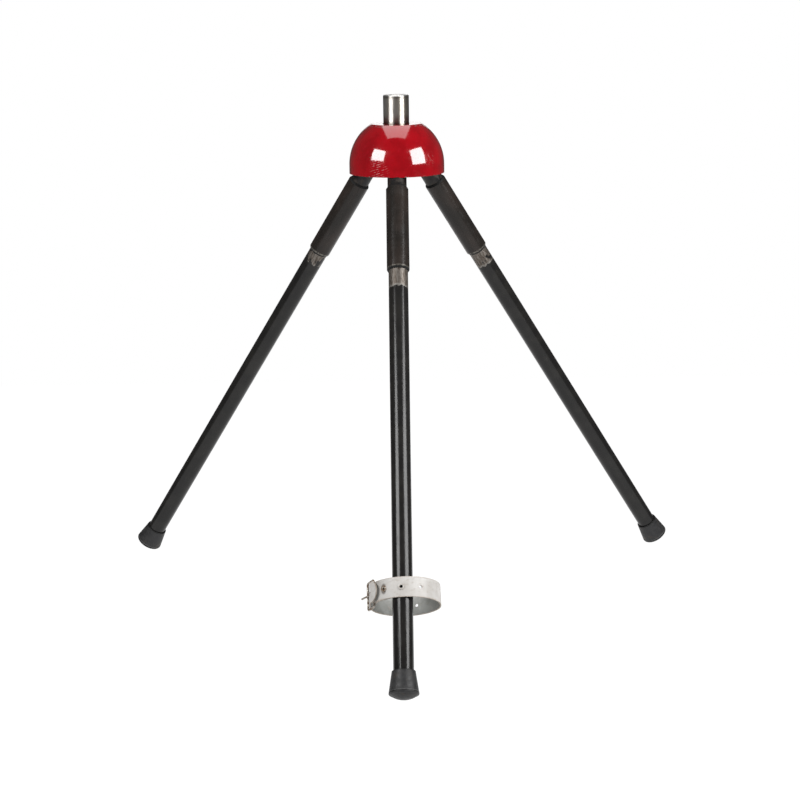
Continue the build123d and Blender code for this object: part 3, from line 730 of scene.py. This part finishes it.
def flat_strap(line, half):
    """Flat cutting of the strap: its corners and triangles, with every hole punched."""
    total = line.lengths[-1]
    wrap_from = line.lengths[line.wrap_start] - SLOT_PAST_WRAP
    wrap_to = line.lengths[line.wrap_end] + SLOT_PAST_WRAP
    tail_from = line.lengths[line.tail_from]
    openings = [circle_outline(line.length_at(angle), 0, HOLE_RADIUS) for angle in HOLE_ANGLES]
    openings += [
        circle_outline(line.length_at(0), 0, RIVET_HOLE_RADIUS),
        circle_outline(line.length_at(FOLD_RIVET_ANGLE), 0, RIVET_HOLE_RADIUS),
        circle_outline(line.fold_length_at(FOLD_RIVET_ANGLE), 0, RIVET_HOLE_RADIUS),
        slot_outline(wrap_from, wrap_to, SLOT_WIDTH),
        slot_outline(tail_from - SLOT_LENGTH, tail_from + SLOT_PAST_TAIL, SLOT_WIDTH),
    ]
    edge = strap_outline(total, half)
    tail_middle = Vector((total - half, 0))
    corners = []
    sides = []
    for outline in [edge, *openings]:
        first = len(corners)
        corners += outline
        count = len(outline)
        sides += [(first + i, first + (i + 1) % count) for i in range(count)]
    for length in line.lengths[1:-1]:
        for j in range(1, ROWS):
            point = Vector((length, -half + 2 * half * j / ROWS))
            near_tail = tail_middle.x < point.x and (point - tail_middle).length > half - CLEAR
            near_hole = any(near_outline(point, outline, CLEAR) for outline in openings)
            if not near_tail and not near_hole:
                corners.append(point)
    points, _, triangles, *_ = geometry.delaunay_2d_cdt(corners, sides, [], 0, 1e-5)
    kept = []
    for triangle in triangles:
        middle = sum((points[i] for i in triangle), Vector((0, 0))) / 3
        if inside(middle, edge) and not any(inside(middle, outline) for outline in openings):
            kept.append(triangle)
    return points, kept


def near_outline(point, outline, margin):
    """Whether a point is in a hole or within margin of its edge."""
    if min((corner - point).length for corner in outline) < margin:
        return True
    low = min(corner.x for corner in outline)
    high = max(corner.x for corner in outline)
    return low - margin < point.x < high + margin and inside(point, outline)


def swell(wave, length, across):
    """Height of one kind of wave at a place on the flat strap."""
    place = Vector((length / wave["along"], across / wave["across"], wave["seed"]))
    return wave["height"] * noise.noise(place)


def waver(line, length, across):
    """How far the strap bellies in or out, in millimetres, away from the leg and the buckle."""
    low, high = (line.length_at(angle) for angle in FREE_ANGLES)
    free = max(0.0, min(1.0, (length - low) / EASE_IN, (high - length) / EASE_IN))
    return free * (swell(BELLY, length, across) + swell(RIPPLE, length, across))


def build_strap():
    """The strap, cut flat with its holes, then bent round its path and given its thickness."""
    axes = strap_place
    low, high = reach("bundle_strap", axes)
    radius = high.x - THICKNESS / 2
    bar = axes.inverted() @ Vector(joints["buckle_lift"]["pos_m"]) / MM
    line = StrapLine(radius, Vector((bar.x, bar.y)))
    half = high.z
    points, triangles = flat_strap(line, half)
    mesh = bpy.data.meshes.new("strap_band")
    bent = []
    for point in points:
        middle, outward = line.at(point.x)
        place = middle + outward * waver(line, point.x, point.y)
        bent.append(axes @ (Vector((place.x, place.y, point.y)) * MM))
    mesh.from_pydata(bent, [], triangles)
    mesh.shade_smooth()
    strap = bpy.data.objects.new("strap_band", mesh)
    bpy.context.scene.collection.objects.link(strap)
    for side in ("back", "face", "edge"):
        mesh.materials.append(strap_material(side, axes, half))
    solid = strap.modifiers.new("thickness", "SOLIDIFY")
    solid.thickness = THICKNESS * MM
    solid.offset = 0
    solid.material_offset = 1
    solid.material_offset_rim = 2
    rounding = strap.modifiers.new("rounded_edges", "BEVEL")
    rounding.width = 0.5 * MM
    rounding.segments = 2
    rounding.angle_limit = math.radians(50)
    rounding.harden_normals = True
    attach(strap, "front_leg")
    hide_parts("bundle_strap")


finish_metal_and_rubber()
build_strap()


# ---------------------------------------------------------------- studio

CAMERA_DISTANCE = 4.1249      # in front of the spindle's axis, metres
CAMERA_HEIGHT = 1.3342
CAMERA_PITCH = 12.6244        # degrees downward
CAMERA_ROLL = 0.7756
LENS = 91.65                  # millimetres, on a sensor 36 wide
FLOOR_DROP = 0.2              # how far the studio's floor lies below the stand's feet, metres
FLOOR_HALF = 3.2              # half the floor's side, metres


def place_camera():
    """Long lens a little above the stand's head, looking slightly down."""
    data = bpy.data.cameras.new("camera")
    data.lens = LENS
    data.sensor_width = 36.0
    camera = bpy.data.objects.new("camera", data)
    bpy.context.scene.collection.objects.link(camera)
    place = Matrix.Translation((spindle_base.x, spindle_base.y - CAMERA_DISTANCE, CAMERA_HEIGHT))
    tilt = Matrix.Rotation(math.radians(90 - CAMERA_PITCH), 4, "X")
    roll = Matrix.Rotation(math.radians(-CAMERA_ROLL), 4, "Z")
    camera.matrix_world = place @ tilt @ roll
    bpy.context.scene.camera = camera


def softbox(name, azimuth, elevation, distance, width, height, radiance):
    """A flat soft light facing the dome, at an azimuth from the camera's side and an elevation.

    The camera doesn't see it, but polished surfaces do.
    """
    data = bpy.data.lights.new(name, "AREA")
    data.shape = "RECTANGLE"
    data.size = width
    data.size_y = height
    data.energy = radiance * math.pi * width * height
    light = bpy.data.objects.new(name, data)
    light.visible_camera = False
    bpy.context.scene.collection.objects.link(light)
    turn = math.radians(azimuth)
    rise = math.radians(elevation)
    way = Vector((math.sin(turn) * math.cos(rise), -math.cos(turn) * math.cos(rise), math.sin(rise)))
    light.location = spindle_base + way * distance
    light.rotation_euler = way.to_track_quat("Z", "Y").to_euler()


def white_room():
    """White to the camera on every side, dim grey to the object, as in a dark studio."""
    world = bpy.data.worlds.new("studio")
    bpy.context.scene.world = world
    world.use_nodes = True
    tree = world.node_tree
    tree.nodes.clear()
    seen = tree.nodes.new("ShaderNodeLightPath")
    white = tree.nodes.new("ShaderNodeBackground")
    white.inputs["Color"].default_value = rgb(1, 1, 1)
    dim = tree.nodes.new("ShaderNodeBackground")
    dim.inputs["Color"].default_value = rgb(0.06, 0.059, 0.058)
    choice = tree.nodes.new("ShaderNodeMixShader")
    output = tree.nodes.new("ShaderNodeOutputWorld")
    tree.links.new(seen.outputs["Is Camera Ray"], choice.inputs[0])
    tree.links.new(dim.outputs[0], choice.inputs[1])
    tree.links.new(white.outputs[0], choice.inputs[2])
    tree.links.new(choice.outputs[0], output.inputs["Surface"])


def pale_floor():
    """Plain white floor, bright enough to show no shadow and to light the legs from below.

    It lies a little low, so that the legs stay in sight when they hang straight down.
    """
    mesh = bpy.data.meshes.new("floor")
    square = ((-1, -1), (1, -1), (1, 1), (-1, 1))
    corners = [(x * FLOOR_HALF, y * FLOOR_HALF, -FLOOR_DROP) for x, y in square]
    mesh.from_pydata(corners, [], [(0, 1, 2, 3)])
    material = bpy.data.materials.new("floor_white")
    material.use_nodes = True
    surface = material.node_tree.nodes["Principled BSDF"]
    surface.inputs["Base Color"].default_value = rgb(0.05, 0.05, 0.05)
    surface.inputs["Emission Color"].default_value = rgb(1, 1, 1)
    surface.inputs["Emission Strength"].default_value = 1.0
    mesh.materials.append(material)
    floor = bpy.data.objects.new("floor", mesh)
    bpy.context.scene.collection.objects.link(floor)


place_camera()
# Azimuth and elevation in degrees; distance, width and height in metres; radiance.
softbox("softbox_left", -48, 21, 2.0, 1.15, 0.86, 12.5)
softbox("softbox_right", 55, 17, 2.0, 1.25, 1.18, 12.5)
softbox("softbox_top", 180, 80, 1.6, 1.25, 1.9, 2.2)
softbox("card_behind", 180, 10, 2.4, 1.1, 0.5, 1.3)
white_room()
pale_floor()
bpy.context.scene.view_settings.view_transform = "Standard"
